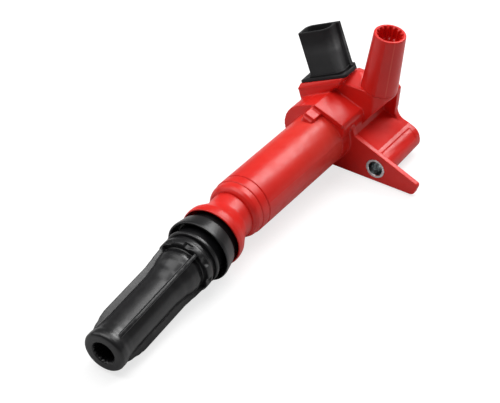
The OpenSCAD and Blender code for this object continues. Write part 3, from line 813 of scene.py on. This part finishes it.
def boot():
    """Boot from its mouth over the fins and the notched collar to its rear, and back along the bore."""
    body = [
        (0.0, 8.2), (0.35, 8.75), (1.1, 9.1), (3.0, 9.1), (6, 8.55), (9, 8.3), (14, 8.2), (38, 8.2),
        (44, 8.75), (49, 9.7), (52, 9.95), (54.2, 9.6), (COLLAR_AT - 0.25, 9.55),
    ]
    fin = [
        (2.6, 7.0), (3.8, 8.8), (8, 9.75), (12, 10.6), (14.5, 10.9), (42, 10.9), (46, 11.2), (50, 11.6),
        (54, 11.8), (COLLAR_AT, 11.9),
    ]
    rings = []
    for x, r in ((0.0, PLUG_BORE_R + 0.75), (0.0, 7.0), (0.0, 7.9), (0.12, 8.35), (0.38, 8.72), (0.8, 8.98)):
        rings.append(boot_ring(r, 0, x))
    x = 1.2
    while x < COLLAR_AT - 0.26:
        rings.append(boot_ring(eased(x, body), eased(x, fin), x))
        x += 0.6
    rings.append(boot_ring(9.6, 11.88, COLLAR_AT - 0.25))
    rings.append(boot_ring(9.75, 11.9, COLLAR_AT - 0.05))
    rings.append(boot_ring(11.6, 11.95, COLLAR_AT, notched(0.5)))
    collar = [
        (0.04, 12.0, 0.9), (0.2, 12.22, 1.0), (0.5, 12.3, 1.05), (1.5, 12.3, 1.05), (1.9, 12.3, 0.9),
        (2.1, 12.3, 0.1), (3.0, 12.28, 0), (3.4, 12.1, 0), (3.9, 11.5, 0), (4.3, 11.1, 0),
    ]
    for x, r, deep in collar:
        rings.append(boot_ring(r, 0, COLLAR_AT + x, notched(deep) if deep else None))
    rear = [
        (SEAL_AT - 0.05, 11.1), (SEAL_AT, 11.0), (SEAL_AT, SEAL_IN - 0.02), (BOOT_LEN - 0.3, SEAL_IN - 0.02),
        (BOOT_LEN, SEAL_IN - 0.3), (BOOT_LEN, 6.3), (BOOT_LEN - 0.25, 6.05), (REAR_BORE_AT, 6.05),
        (REAR_BORE_AT - 1, SPRING_BORE_R), (SPRING_BORE_AT, SPRING_BORE_R),
        (SPRING_BORE_AT - 1, PLUG_BORE_R),
    ]
    for x, r in rear:
        rings.append(boot_ring(r, 0, x))
    for x, deep in ((6.2, 0), (5.2, 0.3), (3, 0.32), (1.6, 0.32)):
        rings.append(boot_ring(PLUG_BORE_R, 0, x, gripped(deep)))
    rings.append(boot_ring(PLUG_BORE_R + 0.12, 0, 0.8, gripped(0.3)))
    rings.append(boot_ring(PLUG_BORE_R + 0.5, 0, 0.2, gripped(0.12)))
    obj = mesh_object("boot_body", skin(rings, True), BOOT)
    smooth(obj, 36)
    return place(obj, "plug_boot", RUBBER)


boot()


def seal():
    """Umbrella skirt and the sleeve that reaches into the bell."""
    outline = rounded(
        [
            (SEAL_IN, SEAL_AT), (12.46, SEAL_AT), (12.46, 63), (11.25, 63.4), (11.2, 70.6), (12.3, 70.6),
            (13.5, 66.2), (14.36, 65.9), (14.36, 67.3), (13.2, 73.1), (11.5, 73.4), (11.4, 75.5),
            (11.15, 79.3), (10.2, 81), (SEAL_IN, 81),
        ],
        [0, 0.6, 0.7, 0.5, 1.0, 0.8, 0.5, 0.35, 0.6, 0.9, 0.7, 0, 1.5, 0.6, 0],
        8,
    )
    obj = mesh_object("seal_skirt", lathe(outline, 256), BOOT @ ALONG_X)
    smooth(obj, 40)
    return place(obj, "well_seal", RUBBER)


seal()


def contact_coil():
    """Spring copied from the CAD contact spring, in steel, with its transform baked in."""
    obj = copy_of("contact_spring", "contact_coil")
    obj.data.materials.clear()
    obj.data.materials.append(STEEL)
    smooth(obj, 40)
    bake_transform(obj)
    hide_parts("contact_spring")


contact_coil()


# ---- floor, light and camera ----

def look(direction):
    """Rotation that points a camera or light along direction."""
    return direction.to_track_quat("-Z", "Y")


LENS_MM = 115.2
SENSOR_MM = 36
CAMERA_AT = (-0.5040, -0.2784, 0.4078)
CAMERA_FORWARD = Vector((0.6625, 0.4534, -0.5962))


def camera():
    data = bpy.data.cameras.new("camera")
    data.lens = LENS_MM
    data.sensor_width = SENSOR_MM
    data.clip_start = 0.01
    data.clip_end = 20
    obj = bpy.data.objects.new("camera", data)
    bpy.context.scene.collection.objects.link(obj)
    obj.location = CAMERA_AT
    obj.rotation_mode = "QUATERNION"
    obj.rotation_quaternion = look(CAMERA_FORWARD)
    bpy.context.scene.camera = obj


def area(name, location, target, size, power):
    data = bpy.data.lights.new(name, "AREA")
    data.shape = "RECTANGLE"
    data.size = size[0]
    data.size_y = size[1]
    data.energy = power
    obj = bpy.data.objects.new(name, data)
    bpy.context.scene.collection.objects.link(obj)
    obj.location = location
    obj.rotation_mode = "QUATERNION"
    obj.rotation_quaternion = look(Vector(target) - Vector(location))


# To the camera the floor is part white paint and part glow. To other rays it is plain grey.
FLOOR_HALF = 1.6
FLOOR_SHADE = 0.34
FLOOR_GLOW = 0.74
FLOOR_BOUNCE = 0.55
ROOM_LIGHT = 0.16
BACKDROP = 0.92


def floor():
    bm = bmesh.new()
    bmesh.ops.create_grid(bm, x_segments=8, y_segments=8, size=FLOOR_HALF)
    mesh = bpy.data.meshes.new("floor")
    bm.to_mesh(mesh)
    bm.free()
    obj = bpy.data.objects.new("floor", mesh)
    bpy.context.scene.collection.objects.link(obj)
    obj.location = (0, 0, cad_low.z - 0.0002)
    mat = bpy.data.materials.new("floor_white")
    mat.use_nodes = True
    nodes = mat.node_tree.nodes
    links = mat.node_tree.links
    nodes.remove(nodes["Principled BSDF"])
    seen = nodes.new("ShaderNodeBsdfDiffuse")
    seen.inputs["Color"].default_value = (FLOOR_SHADE, FLOOR_SHADE, FLOOR_SHADE, 1)
    glow = nodes.new("ShaderNodeEmission")
    glow.inputs["Strength"].default_value = FLOOR_GLOW
    both = nodes.new("ShaderNodeAddShader")
    bounce = nodes.new("ShaderNodeBsdfDiffuse")
    bounce.inputs["Color"].default_value = (FLOOR_BOUNCE, FLOOR_BOUNCE, FLOOR_BOUNCE, 1)
    path = nodes.new("ShaderNodeLightPath")
    pick = nodes.new("ShaderNodeMixShader")
    links.new(seen.outputs[0], both.inputs[0])
    links.new(glow.outputs[0], both.inputs[1])
    links.new(path.outputs["Is Camera Ray"], pick.inputs[0])
    links.new(bounce.outputs[0], pick.inputs[1])
    links.new(both.outputs[0], pick.inputs[2])
    links.new(pick.outputs[0], nodes["Material Output"].inputs["Surface"])
    obj.data.materials.append(mat)


def world():
    """Faint light from all round, behind a backdrop that only the camera sees."""
    room = bpy.data.worlds.new("room")
    bpy.context.scene.world = room
    room.use_nodes = True
    nodes = room.node_tree.nodes
    links = room.node_tree.links
    light = nodes["Background"]
    light.inputs["Color"].default_value = (1, 1, 1, 1)
    light.inputs["Strength"].default_value = ROOM_LIGHT
    backdrop = nodes.new("ShaderNodeBackground")
    backdrop.inputs["Color"].default_value = (1, 1, 1, 1)
    backdrop.inputs["Strength"].default_value = BACKDROP
    path = nodes.new("ShaderNodeLightPath")
    pick = nodes.new("ShaderNodeMixShader")
    links.new(path.outputs["Is Camera Ray"], pick.inputs[0])
    links.new(light.outputs[0], pick.inputs[1])
    links.new(backdrop.outputs[0], pick.inputs[2])
    links.new(pick.outputs[0], nodes["World Output"].inputs["Surface"])


camera()
floor()
world()
middle = (cad_low + cad_high) / 2
area("top", (middle.x - 0.06, middle.y + 0.22, 0.95), middle, (0.9, 0.9), 7.5)
area("back", (middle.x + 0.62, middle.y - 0.12, 0.66), middle, (0.5, 0.4), 5.4)
area("left", (middle.x - 0.2, middle.y + 0.8, 0.5), middle, (0.7, 0.5), 1.5)
bpy.context.scene.view_settings.view_transform = "Standard"
